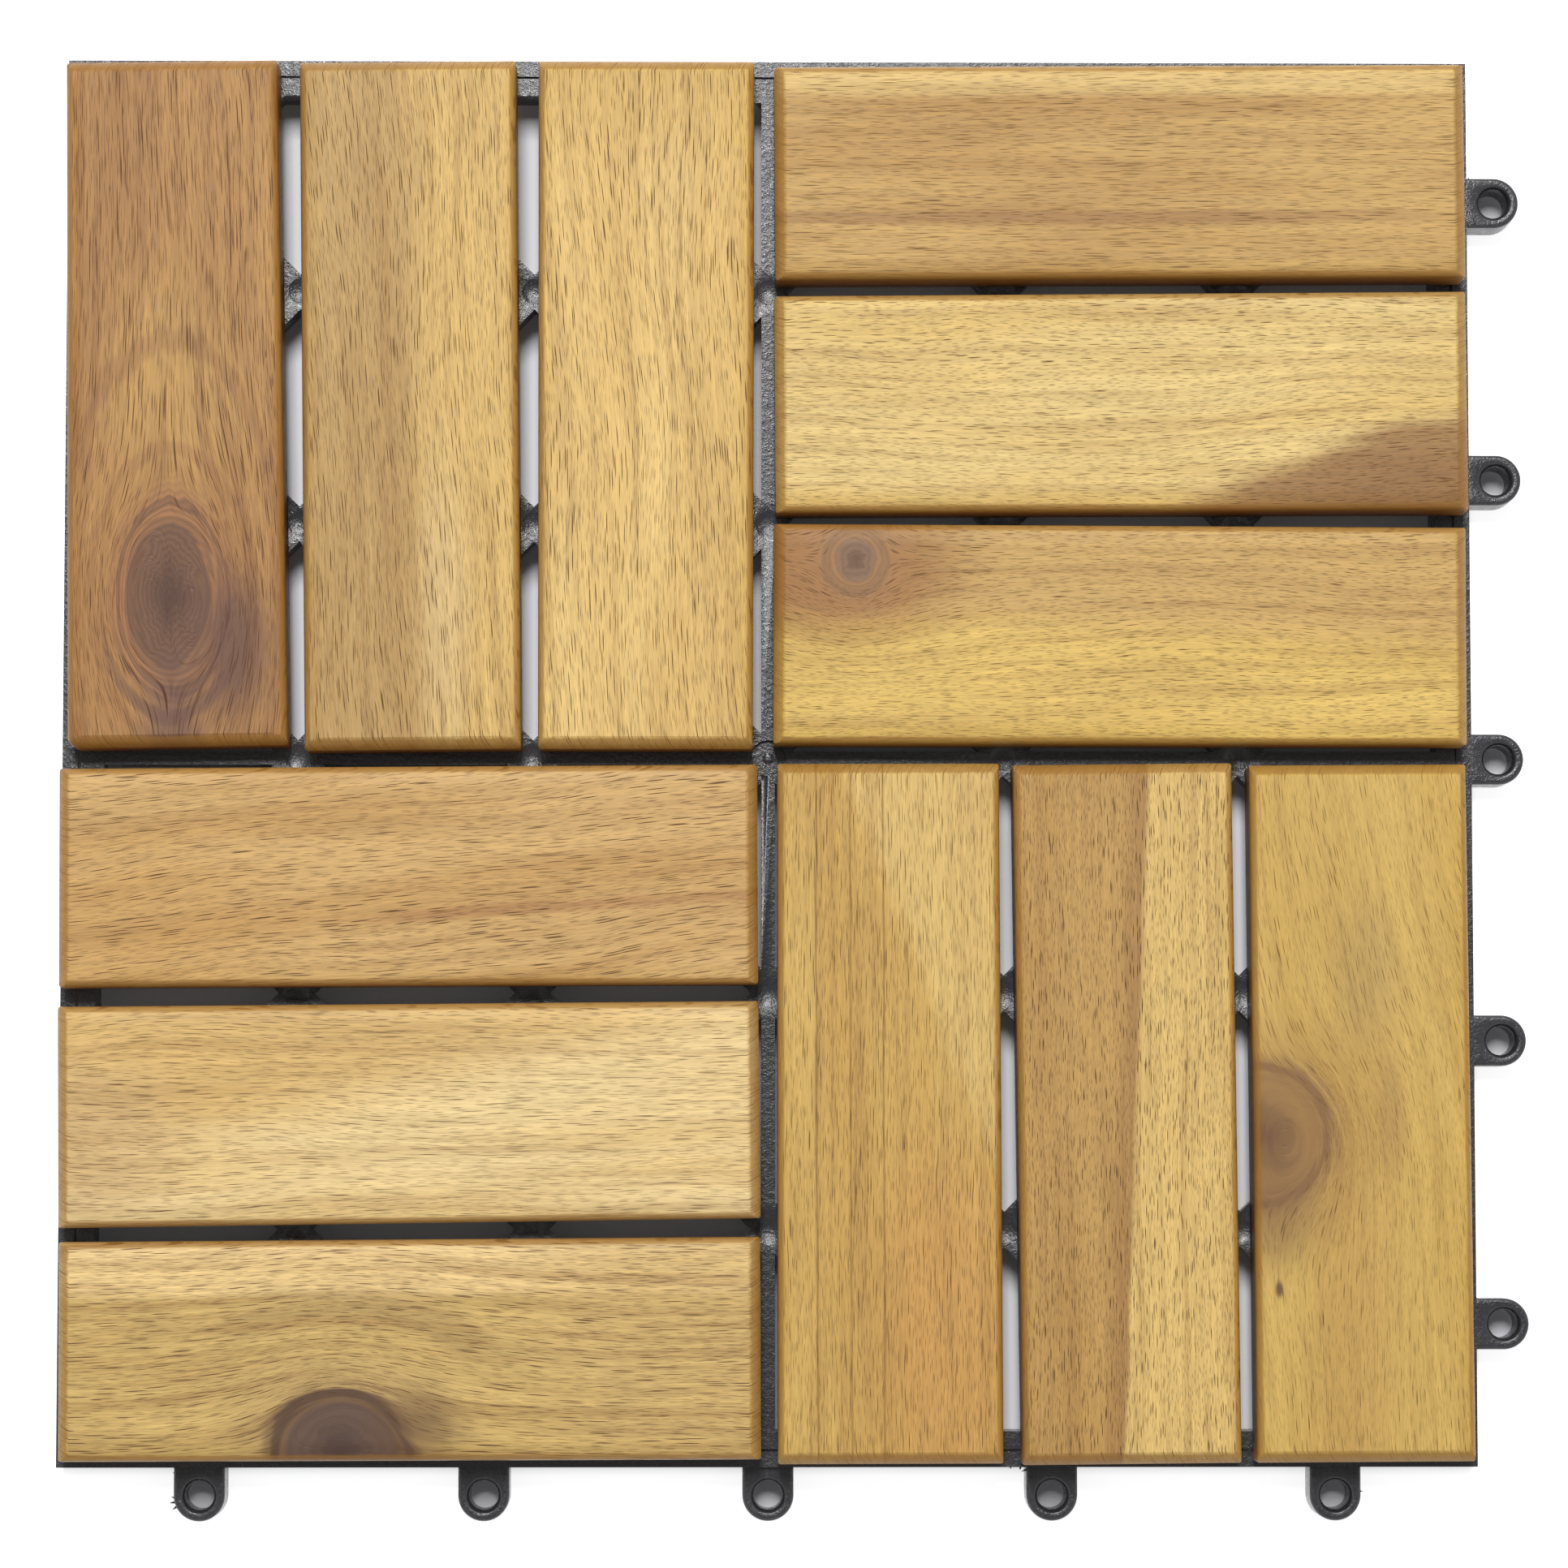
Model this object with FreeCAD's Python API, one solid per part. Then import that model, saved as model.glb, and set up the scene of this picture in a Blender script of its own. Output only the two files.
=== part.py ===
import FreeCAD, Part
import math
import os

# Interlocking deck tile: twelve wooden slats in four blocks of three, turned a quarter from block to
# block, screwed from below to one moulded plastic base. Millimetres, +Z up. The origin is the centre of
# the square tile, on the ground under the middle foot. Loops stand out to +X (right) and -Y (front),
# and pegs hang under the rim at -X (left) and +Y (back), where the loops of the next tiles come in.

# heights of the base
base_height = 12.0
ground_gap = 1.5

# slats: each block is as long as three of them lie wide
slat_pitch = 50.0
slat_side_gap = 3.6
slat_end_gap = 3.0
slat_thickness = 12.0
slat_side_round = 1.7
slat_end_round = 2.5

# how each slat differs from its ruled place and size, as sawn and screwed down by hand: shift to the right
# and to the back, turn in degrees, and extra width at its left or back end and at its other end
slat_offsets = {
    "back_left": (
        (-0.8, -0.4, 0.95, -1.6, 0.2),
        (-0.9, -0.8, 0.7, -0.5, -0.7),
        (-1.1, -0.6, 0.0, -0.5, -1.1),
    ),
    "back_right": (
        (-0.4, -1.1, 0.35, 0.3, 0.1),
        (-0.4, -0.25, 0.4, 0.4, 1.0),
        (-0.7, 0.3, -0.15, 0.7, 0.4),
    ),
    "front_left": (
        (-0.8, -0.7, 0.35, -0.2, 0.0),
        (-0.5, -0.4, 0.65, 0.1, -0.7),
        (-0.1, 0.4, 0.1, -1.5, 0.2),
    ),
    "front_right": (
        (0.25, -0.15, 0.15, 0.3, 0.8),
        (0.2, -0.2, 0.6, -0.1, -0.5),
        (-0.4, -0.15, 0.35, -0.4, -0.5),
    ),
}
quarter_turns = {"back_left": 0, "back_right": 1, "front_right": 0, "front_left": 1}
block_signs = {"back_left": (-1, 1), "back_right": (1, 1), "front_left": (-1, -1), "front_right": (1, -1)}

# rim: a band on top with a wall down each edge, open below
rim_band = 7.5
rim_outer_wall = 2.0
rim_inner_wall = 1.8
rim_plate = 1.4
rim_groove_inset = 3.3
rim_groove_width = 0.5
rim_groove_depth = 0.4

# ribs, with draft on their sides: diagonal ones that cross under the gaps and under the middle of the
# slats, and a straight one between the blocks each way
rib_top_width = 5.3
rib_bottom_width = 4.4
cross_rib_top_width = 2.9
cross_rib_bottom_width = 2.4

# the round boss in the middle of the tile
middle_boss_radius = 5.4
middle_recess_radius = 3.8
middle_recess_depth = 1.2

# screws, and the bosses and pilot holes that take them, with flats in place of these small hidden rounds;
# the bosses are the feet, and hold each screw's head clear of the ground
screw_sides = 6
boss_sides = 8
screw_bite = 8.2
screw_radius = 1.75
screw_head_radius = 3.5
screw_head_height = 2.0
screw_head_taper = 1.0
screw_hole_clearance = 0.2
pilot_clearance = 0.15
pilot_extra_depth = 0.5
head_clearance = 0.4
head_gap = 1.2
boss_wall = 1.3

# loops, and the pegs and pockets that take them, evenly spaced all along a row of tiles
link_count = 5
link_inset = 6.0
loop_half_width = 5.4
loop_bottom = 1.0
loop_hole_radius = 3.05
loop_mouth_flare = 0.9
loop_mouth_depth = 2.0
peg_clearance = 0.25
peg_bottom = 1.5
peg_bevel = 0.5
pocket_side_gap = 0.4
pocket_tip_gap = 0.6
pocket_roof_gap = 0.2
peg_pad_margin = 0.1

# sizes that follow
slat_rows = len(slat_offsets["back_left"])
half_tile = slat_rows * slat_pitch
block_offset = half_tile / 2
slat_width = slat_pitch - slat_side_gap
slat_length = half_tile - slat_end_gap
inner_edge = half_tile - rim_band
pocket_top = base_height - rim_plate
loop_top = pocket_top - pocket_roof_gap
link_pitch = 2 * half_tile / link_count
link_places = [link_pitch * (n - (link_count - 1) / 2) for n in range(link_count)]
screw_reach = slat_pitch * (slat_rows - 1) / 2
screw_seat = head_gap + screw_head_height
screw_top = base_height + screw_bite
pilot_top = screw_top + pilot_extra_depth
screw_hole_radius = screw_radius + screw_hole_clearance
pilot_radius = screw_radius + pilot_clearance
head_room_radius = screw_head_radius + head_clearance
boss_radius = head_room_radius + boss_wall
peg_radius = loop_hole_radius - peg_clearance
pocket_half_width = loop_half_width + pocket_side_gap
pocket_depth = link_inset + loop_half_width + pocket_tip_gap


def vector(x, y, z=0.0):
    return FreeCAD.Vector(x, y, z)


def centred_box(half_x, half_y, bottom, top):
    """A box about the Z axis between two heights."""
    return Part.makeBox(2 * half_x, 2 * half_y, top - bottom, vector(-half_x, -half_y, bottom))


def upright(radius, x, y, bottom, top):
    """A round upright bar between two heights."""
    return Part.makeCylinder(radius, top - bottom, vector(x, y, bottom))


def ring_points(sides, radius, x, y, z):
    """Corners of a level polygon, the first towards a diagonal rib."""
    angles = [math.pi / 4 + 2 * math.pi * n / sides for n in range(sides)]
    return [vector(x + radius * math.cos(a), y + radius * math.sin(a), z) for a in angles]


def flatted(sides, radius, x, y, bottom, top):
    """An upright bar with flats in place of its round side."""
    return frustum(ring_points(sides, radius, x, y, bottom), ring_points(sides, radius, x, y, top))


def frustum(lower, upper):
    """A solid between two matching outlines, given as points, with flat sides."""
    faces = [Part.Face(Part.makePolygon(lower + lower[:1])), Part.Face(Part.makePolygon(upper + upper[:1]))]
    for n in range(len(lower)):
        following = (n + 1) % len(lower)
        side = [lower[n], lower[following], upper[following], upper[n], lower[n]]
        faces.append(Part.Face(Part.makePolygon(side)))
    solid = Part.Solid(Part.makeShell(faces))
    if solid.Volume < 0:
        solid.reverse()
    return solid


def diamond(x, y, reach, z):
    """Corners of a square standing on its corner."""
    return [vector(x + reach, y, z), vector(x, y + reach, z), vector(x - reach, y, z), vector(x, y - reach, z)]


def profile_solid(points, direction):
    """A flat outline pulled out along a direction."""
    return Part.Face(Part.makePolygon(points + points[:1])).extrude(direction)


def lattice_window(x, y):
    """The opening between four diagonal ribs, wider at the bottom than at the top because of the draft."""
    spacing = slat_pitch / math.sqrt(2)
    upper_reach = (spacing - rib_top_width) / math.sqrt(2)
    lower_reach = (spacing - rib_bottom_width) / math.sqrt(2)
    window = frustum(diamond(x, y, lower_reach, ground_gap), diamond(x, y, upper_reach, base_height))
    if abs(x) + lower_reach > inner_edge or abs(y) + lower_reach > inner_edge:
        window = window.common(centred_box(inner_edge, inner_edge, ground_gap, base_height))
    return window


def lattice_windows():
    """Windows lie midway between neighbouring crossings, out to those that the rim halves."""
    half_pitch = slat_pitch / 2
    reach = 2 * slat_rows
    windows = []
    for column in range(-reach, reach + 1):
        for row in range(-reach, reach + 1):
            at_corner = abs(column) == reach and abs(row) == reach
            if (column + row) % 2 and not at_corner:
                windows.append(lattice_window(column * half_pitch, row * half_pitch))
    return windows


def ring_between(outer, inner, bottom, top):
    """A square ring about the Z axis."""
    return centred_box(outer, outer, bottom, top).cut(centred_box(inner, inner, bottom, top))


def rim_channel():
    """The hollow under the rim's band, between its two walls."""
    return ring_between(half_tile - rim_outer_wall, inner_edge + rim_inner_wall, ground_gap, pocket_top)


def rim_groove():
    """The shallow line that runs round the band's top."""
    outer = half_tile - rim_groove_inset
    return ring_between(outer, outer - rim_groove_width, base_height - rim_groove_depth, base_height)


def cross_rib(turned):
    """The straight rib between two blocks, from rim to rim."""
    top, low = cross_rib_top_width / 2, cross_rib_bottom_width / 2
    section = [(-low, ground_gap), (low, ground_gap), (top, base_height), (-top, base_height)]
    points = [vector(x, -inner_edge, z) for x, z in section]
    rib = profile_solid(points, vector(0, 2 * inner_edge))
    if turned:
        rib.rotate(vector(0, 0), vector(0, 0, 1), 90)
    return rib


def middle_boss():
    """The round boss in the middle of the tile, which is also its middle foot."""
    return upright(middle_boss_radius, 0, 0, 0.0, base_height)


def middle_recess():
    """The recess in the middle boss, where the plastic was let into the mould."""
    return upright(middle_recess_radius, 0, 0, base_height - middle_recess_depth, base_height)


def slat_places():
    """Every slat as (name, centre x, centre y, quarter turn, offsets), left to right or back to front."""
    places = []
    for block, offsets in slat_offsets.items():
        sign_x, sign_y = block_signs[block]
        for row in range(slat_rows):
            across = slat_pitch * (row - (slat_rows - 1) / 2)
            if quarter_turns[block]:
                centre = (sign_x * block_offset, sign_y * block_offset - across)
            else:
                centre = (sign_x * block_offset + across, sign_y * block_offset)
            name = "slat_%s_%d" % (block, row + 1)
            places.append((name, centre[0], centre[1], quarter_turns[block], offsets[row]))
    return places


def screw_places():
    """Two screws under each slat, on its centre line, at crossings of the ribs."""
    places = []
    for _, x, y, turned, _ in slat_places():
        for side in (-screw_reach, screw_reach):
            places.append((x + side, y) if turned else (x, y + side))
    return places


def screw_boss(x, y):
    """The boss round a screw, down to the ground as a foot."""
    return flatted(boss_sides, boss_radius, x, y, 0.0, base_height)


def screw_room(x, y):
    """Room in a boss for the screw's head, up to the face it pulls against, and the hole for its shank."""
    head_room = flatted(screw_sides, head_room_radius, x, y, 0.0, screw_seat)
    return [head_room, flatted(screw_sides, screw_hole_radius, x, y, screw_seat, base_height)]


def screw(x, y):
    """A wood screw, head down: a low bevelled head in the boss and a plain shank up into the slat."""
    face = ring_points(screw_sides, screw_head_radius - screw_head_taper, x, y, head_gap)
    head = frustum(face, ring_points(screw_sides, screw_head_radius, x, y, screw_seat))
    return head.fuse(flatted(screw_sides, screw_radius, x, y, screw_seat, screw_top)).removeSplitter()


def slat_screws():
    """All the screws, each a solid of its own."""
    return Part.makeCompound([screw(x, y) for x, y in screw_places()])


def rounded_profile(half_span, radius):
    """A board's outline across one direction: a flat underside and rounded upper corners."""
    low, high = base_height, base_height + slat_thickness
    centre_z = high - radius
    edge = radius * math.sin(math.pi / 4)
    right_arc = Part.Arc(
        vector(half_span, 0, centre_z),
        vector(half_span - radius + edge, 0, centre_z + edge),
        vector(half_span - radius, 0, high),
    )
    left_arc = Part.Arc(
        vector(-half_span + radius, 0, high),
        vector(-half_span + radius - edge, 0, centre_z + edge),
        vector(-half_span, 0, centre_z),
    )
    edges = [
        Part.makeLine(vector(-half_span, 0, low), vector(half_span, 0, low)),
        Part.makeLine(vector(half_span, 0, low), vector(half_span, 0, centre_z)),
        right_arc.toShape(),
        Part.makeLine(vector(half_span - radius, 0, high), vector(-half_span + radius, 0, high)),
        left_arc.toShape(),
        Part.makeLine(vector(-half_span, 0, centre_z), vector(-half_span, 0, low)),
    ]
    return Part.Face(Part.Wire(edges))


def long_side_form(back_width, front_width, side):
    """A long wide board along Y with one long side, -1 or 1, where the slat has it and the rest clear."""
    profile = rounded_profile(slat_width, slat_side_round)
    profile.translate(vector(side * ((front_width + back_width) / 4 - slat_width), -slat_length))
    form = profile.extrude(vector(0, 2 * slat_length))
    taper = math.degrees(math.atan((back_width - front_width) / 2 / slat_length))
    form.rotate(vector(0, 0), vector(0, 0, 1), -side * taper)
    return form


def board(back_width, front_width):
    """A slat along Y about the Z axis: what its two long sides and its two ends leave between them."""
    ends = rounded_profile(slat_length / 2, slat_end_round)
    ends.rotate(vector(0, 0), vector(0, 0, 1), 90)
    ends.translate(vector(-slat_width, 0))
    lengthways = long_side_form(back_width, front_width, 1).common(long_side_form(back_width, front_width, -1))
    return lengthways.common(ends.extrude(vector(2 * slat_width, 0)))


def slat(x, y, turned, offsets):
    """One slat in its place, with the holes that its two screws have cut in its underside."""
    shift_x, shift_y, turn, back_swell, front_swell = offsets
    piece = board(slat_width + back_swell, slat_width + front_swell)
    piece.rotate(vector(0, 0), vector(0, 0, 1), turn + (90 if turned else 0))
    piece.translate(vector(x + shift_x, y + shift_y))
    holes = []
    for side in (-screw_reach, screw_reach):
        hole_x, hole_y = (x + side, y) if turned else (x, y + side)
        holes.append(flatted(screw_sides, pilot_radius, hole_x, hole_y, base_height, pilot_top))
    return piece.cut(Part.makeCompound(holes))


def loop_blank():
    """A loop without its hole, standing out along +X from the rim: a straight root and a round end."""
    centre = half_tile + link_inset
    root = half_tile - rim_outer_wall / 2
    straight = Part.makeBox(
        centre - root, 2 * loop_half_width, loop_top - loop_bottom, vector(root, -loop_half_width, loop_bottom)
    )
    return straight.fuse(upright(loop_half_width, centre, 0, loop_bottom, loop_top))


def loop_hole():
    """The hole through a loop, opening into a wide mouth at the top."""
    centre = half_tile + link_inset
    neck = loop_top - loop_mouth_depth
    straight = upright(loop_hole_radius, centre, 0, loop_bottom, neck)
    mouth_radius = loop_hole_radius + loop_mouth_flare
    mouth = Part.makeCone(loop_hole_radius, mouth_radius, loop_mouth_depth, vector(centre, 0, neck))
    return [straight, mouth]


def pocket():
    """The room under the left rim for a loop of the next tile."""
    return Part.makeBox(
        pocket_depth, 2 * pocket_half_width, pocket_top, vector(-half_tile, -pocket_half_width, 0)
    )


def peg_pad():
    """The roof of a pocket, carried inwards past the rim's band to hold the whole peg."""
    reach = link_inset + peg_radius + peg_pad_margin
    return Part.makeBox(
        reach, 2 * pocket_half_width, base_height - pocket_top, vector(-half_tile, -pocket_half_width, pocket_top)
    )


def peg():
    """A peg that hangs from the roof of a pocket, with a bevelled end to find its loop."""
    centre = -half_tile + link_inset
    shaft = upright(peg_radius, centre, 0, peg_bottom + peg_bevel, pocket_top)
    tip = Part.makeCone(peg_radius - peg_bevel, peg_radius, peg_bevel, vector(centre, 0, peg_bottom))
    return shaft.fuse(tip)


def along_side(shape, places, second_turn):
    """Copies of a shape made for one side, spread along it, and again along the side a quarter turn on."""
    copies = []
    for place in places:
        first = shape.copy()
        first.translate(vector(0, place))
        second = first.copy()
        second.rotate(vector(0, 0), vector(0, 0, 1), second_turn)
        copies += [first, second]
    return copies


def base_grid():
    """The moulded base in one piece: rim, ribs, feet, bosses, loops and pegs."""
    block = centred_box(half_tile, half_tile, ground_gap, base_height)
    shell = block.cut(lattice_windows() + [rim_channel()])
    bosses = [screw_boss(x, y) for x, y in screw_places()]
    loops = along_side(loop_blank(), link_places, -90)
    pads = along_side(peg_pad(), link_places, -90)
    added = bosses + [middle_boss(), cross_rib(False), cross_rib(True)] + loops + pads
    solid = shell.multiFuse(added).removeSplitter()
    cuts = [rim_groove(), middle_recess()]
    for x, y in screw_places():
        cuts += screw_room(x, y)
    for tool in loop_hole():
        cuts += along_side(tool, link_places, -90)
    cuts += along_side(pocket(), link_places, -90)
    solid = solid.cut(cuts)
    solid = solid.multiFuse(along_side(peg(), link_places, -90))
    return solid.removeSplitter()


def export(shape, name):
    shape.exportStep(os.path.join("parts", name + ".step"))


os.makedirs("parts", exist_ok=True)
export(base_grid(), "base_grid")
export(slat_screws(), "slat_screws")
for slat_name, slat_x, slat_y, slat_turned, slat_offset in slat_places():
    export(slat(slat_x, slat_y, slat_turned, slat_offset), slat_name)
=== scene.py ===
import math

import bmesh
import bpy
import numpy as np
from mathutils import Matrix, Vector


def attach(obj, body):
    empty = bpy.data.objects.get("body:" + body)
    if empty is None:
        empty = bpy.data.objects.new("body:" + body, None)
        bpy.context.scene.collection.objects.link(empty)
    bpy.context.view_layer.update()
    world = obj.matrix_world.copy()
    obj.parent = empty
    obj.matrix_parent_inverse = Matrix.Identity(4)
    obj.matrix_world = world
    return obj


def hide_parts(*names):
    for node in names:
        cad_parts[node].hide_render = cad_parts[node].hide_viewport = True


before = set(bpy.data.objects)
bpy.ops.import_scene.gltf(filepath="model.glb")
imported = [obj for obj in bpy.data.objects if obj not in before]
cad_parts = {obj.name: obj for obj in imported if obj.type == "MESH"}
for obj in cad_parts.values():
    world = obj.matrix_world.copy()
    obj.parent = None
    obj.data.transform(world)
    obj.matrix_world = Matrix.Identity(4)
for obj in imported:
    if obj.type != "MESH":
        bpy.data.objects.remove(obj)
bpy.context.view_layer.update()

# Base grid: one black polypropylene moulding with a hollow rim, a lattice of drafted ribs and round
# bosses that are its feet. The loops of the right and front rim and the pegs under the other two
# are moulded with it, and shallow sinks mark its top wherever two ribs cross in a gap.

MM = 0.001
same_point = 1e-7
half_tile = 150.0
base_height = 12.0


def quads(rows, columns, round_rows=False, round_columns=False):
    """Four-cornered faces of a grid of points, row by row. A round direction joins its last line to its
    first."""
    row = np.arange(rows if round_rows else rows - 1)[:, None]
    column = np.arange(columns if round_columns else columns - 1)[None, :]
    next_row, next_column = (row + 1) % rows, (column + 1) % columns
    corners = [row * columns + column, row * columns + next_column]
    corners += [next_row * columns + next_column, next_row * columns + column]
    return np.stack(np.broadcast_arrays(*corners), -1).reshape(-1, 4)


def turned(profile, places, sides):
    """Turned forms about upright axes: every profile point (radius, height) goes once round each place."""
    radius, height = np.array(profile, float).T
    angle = 2 * math.pi * np.arange(sides) / sides
    ring = np.stack([np.outer(radius, np.cos(angle)), np.outer(radius, np.sin(angle))], -1)
    ring = np.concatenate([ring, np.broadcast_to(height[:, None, None], ring.shape[:2] + (1,))], -1)
    points = [ring.reshape(-1, 3) + (x, y, 0) for x, y in places]
    one_form = quads(radius.size, sides, round_columns=True)
    faces = [one_form + n * radius.size * sides for n in range(len(places))]
    return np.concatenate(points), np.concatenate(faces)


def mesh_of(name, *surfaces):
    """A mesh in metres from surfaces in millimetres, with doubled points at poles and seams made one."""
    whole = bmesh.new()
    for points, faces in surfaces:
        part = bpy.data.meshes.new(name)
        part.from_pydata((np.asarray(points) * MM).tolist(), [], [list(face) for face in faces])
        whole.from_mesh(part)
        bpy.data.meshes.remove(part)
    bmesh.ops.remove_doubles(whole, verts=whole.verts, dist=same_point)
    bmesh.ops.dissolve_degenerate(whole, edges=whole.edges, dist=same_point)
    bmesh.ops.recalc_face_normals(whole, faces=whole.faces)
    mesh = bpy.data.meshes.new(name)
    whole.to_mesh(mesh)
    whole.free()
    return mesh


def piece_of(name, mesh):
    """An object at the origin that shows a mesh."""
    piece = bpy.data.objects.new(name, mesh)
    bpy.context.scene.collection.objects.link(piece)
    return piece


# the moulding's own solid, with its loops taken off just outside the rim's wall: they are made again below
cad_merge, cad_flat = 2e-6, math.radians(0.6)
wall_cut = half_tile + 0.02
body = bmesh.new()
body.from_mesh(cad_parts["base_grid"].data)
bmesh.ops.remove_doubles(body, verts=body.verts, dist=cad_merge)
for outward in ((1, 0, 0), (0, -1, 0)):
    parts = body.verts[:] + body.edges[:] + body.faces[:]
    plane = {"plane_co": tuple(wall_cut * MM * n for n in outward), "plane_no": outward}
    bmesh.ops.bisect_plane(body, geom=parts, dist=same_point, clear_outer=True, **plane)
    bmesh.ops.holes_fill(body, edges=[e for e in body.edges if e.is_boundary], sides=0)
bmesh.ops.dissolve_limit(body, angle_limit=cad_flat, verts=body.verts, edges=body.edges)
base_mesh = bpy.data.meshes.new("base_moulding")
body.to_mesh(base_mesh)
body.free()
base = piece_of("base_moulding", base_mesh)

# screws stand on the middle lines of the slats, near both ends, and the ribs cross in the gaps
middles, rib_lines = range(-125, 126, 50), range(-100, 101, 50)
screw_places = [(x, y) for x in middles for y in middles if (abs(y) if x * y < 0 else abs(x)) != 75]
crossings = [(x, y) for x in rib_lines for y in rib_lines if (x, y) != (0, 0)]

# cutters: room for the round bosses, and the sinks as caps of balls
above = base_height + 1
room_radius = 5.15
boss_room = [(0, -1), (room_radius, -1), (room_radius, above), (0, above)]
sink_radius, sink_depth, sink_spare = 2.9, 0.42, 0.6
ball = (sink_radius**2 + sink_depth**2) / (2 * sink_depth)
reach = np.linspace(0, sink_radius + sink_spare, 8)
sink = [(r, base_height - sink_depth + ball - math.sqrt(ball**2 - r**2)) for r in reach]
sink += [(reach[-1], above), (0, above)]
cutters = [turned(boss_room, screw_places, 40), turned(sink, crossings, 32)]
cutter = piece_of("cutter", mesh_of("cutter", *cutters))
cut = base.modifiers.new("cut", "BOOLEAN")
cut.operation, cut.solver, cut.object = "DIFFERENCE", "EXACT", cutter
bpy.context.view_layer.update()
graph = bpy.context.evaluated_depsgraph_get()
cut_mesh = bpy.data.meshes.new_from_object(base.evaluated_get(graph))
base.modifiers.clear()
bpy.data.objects.remove(cutter)

# round bosses with room for the screw heads, moulded into the ribs
boss_outer, boss_edge, boss_top = 5.2, 0.35, 11.95
head_room, screw_hole, screw_seat = 3.9, 1.95, 3.2
boss_profile = [
    (head_room, boss_edge), (head_room + boss_edge, 0), (boss_outer - boss_edge, 0),
    (boss_outer, boss_edge), (boss_outer, boss_top), (screw_hole, boss_top),
    (screw_hole, screw_seat), (head_room, screw_seat), (head_room, boss_edge),
]

# loops that go over the pegs of the next tiles
link_pitch = 60.0
link_places = [link_pitch * n for n in range(-2, 3)]
loop_centre, loop_half, loop_low, loop_top = half_tile + 6.0, 5.4, 1.0, 10.4
hole_radius, mouth_flare, mouth_depth = 3.05, 0.9, 2.0
loop_top_round, loop_low_round = 0.75, 0.35


def loops():
    """Loops round their holes: the outline is a half round with straight sides back to the rim's wall, and
    each level takes it in by the roundness of the upper and lower edges. The mouth is a quarter ellipse."""
    angle = np.radians(np.arange(0, 360, 5.0))
    away = 1e-9 + np.abs(np.cos(angle))
    aside = 1e-9 + np.abs(np.sin(angle))
    root = loop_centre - half_tile + 1.0
    outline = np.where(np.cos(angle) >= 0, loop_half, np.minimum(loop_half / aside, root / away))
    turn = np.radians(np.linspace(0, 90, 7))
    low_turn = turn[::3]
    inset = np.concatenate([loop_low_round * (1 - np.sin(low_turn)), loop_top_round * (1 - np.cos(turn))])
    outer = outline[None, :] - inset[:, None]
    mouth = hole_radius + mouth_flare * (1 - np.sin(turn))
    low_mouth = hole_radius + loop_low_round * (1 - np.cos(low_turn))
    inner = np.concatenate([mouth, low_mouth])[:, None] * np.ones(angle.size)
    radius = np.concatenate([outer, inner])
    levels = [
        loop_low + loop_low_round * (1 - np.cos(low_turn)), loop_top - loop_top_round * (1 - np.sin(turn)),
        loop_top - mouth_depth * (1 - np.cos(turn)), loop_low + loop_low_round * (1 - np.sin(low_turn)),
    ]
    height = np.concatenate(levels)[:, None] * np.ones(angle.size)
    shape = np.stack([loop_centre + radius * np.cos(angle), radius * np.sin(angle), height], -1)
    shape = shape.reshape(-1, 3)
    faces = quads(radius.shape[0], angle.size, round_rows=True, round_columns=True)
    right = [shape + (0, place, 0) for place in link_places]
    front = [np.stack([p[:, 1], -p[:, 0], p[:, 2]], -1) for p in right]
    return [(points, faces) for points in right + front]


# each sliver's root, its direction in degrees, its length and its half width
burr_rows = [
    (-125.0, -157.4, 8.8, 186, 1.5, 0.35), (-125.1, -156.6, 8.4, 158, 1.1, 0.3),
    (-124.9, -158.4, 8.6, 214, 1.2, 0.3), (-124.9, -150.9, 9.2, 205, 0.9, 0.3),
    (54.8, -150.6, 9.4, 200, 1.4, 0.3), (53.4, -149.8, 9.6, 262, 1.0, 0.4),
    (51.2, -149.8, 9.5, 285, 0.8, 0.35), (125.1, -155.2, 8.8, 350, 0.9, 0.3),
    (150.8, 125.1, 9.2, 80, 0.8, 0.3),
]


def burrs(rows):
    """Slivers left at the mould's parting line: four-sided spikes that narrow from a root, inside the
    plastic, to a tip."""
    x, y, z, direction, length, half = np.array(rows, float).T
    ahead = np.stack([np.cos(np.radians(direction)), np.sin(np.radians(direction)), 0 * x], -1)
    aside = np.stack([-ahead[:, 1], ahead[:, 0], 0 * x], -1)
    corners = [(0, 1, 0.3), (0, 1, -0.3), (0, -1, -0.3), (0, -1, 0.3), (1, 0.1, 0.25)]
    root = np.stack([x, y, z], -1)
    ahead, aside = ahead * length[:, None], aside * half[:, None]
    points = np.stack([root + ahead * a + aside * b + (0, 0, c) for a, b, c in corners], 1).reshape(-1, 3)
    faces = [(0, 1, 2, 3), (0, 4, 1), (1, 4, 2), (2, 4, 3), (3, 4, 0)]
    return points, [tuple(5 * n + corner for corner in face) for n in range(x.size) for face in faces]


# the stub where the plastic was let into the mould, on the floor of the round recess in the middle
recess_floor = base_height - 1.2
gate_rows = [(0, 0.18), (0.45, 0.3), (0.8, 0.2), (1.3, 0), (1.3, -0.3), (0, -0.3)]
gate_mark = [(radius, recess_floor + rise) for radius, rise in gate_rows]

whole = bmesh.new()
whole.from_mesh(cut_mesh)
whole.from_mesh(mesh_of("burrs", burrs(burr_rows)))
whole.from_mesh(mesh_of("bosses", turned(boss_profile, screw_places, 48)))
whole.from_mesh(mesh_of("gate_mark", turned(gate_mark, [(0, 0)], 9)))
for loop in loops():
    whole.from_mesh(mesh_of("loop", loop))
whole.to_mesh(base_mesh)
whole.free()
base_mesh.shade_smooth()
base_mesh.set_sharp_from_angle(angle=math.radians(32))


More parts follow.
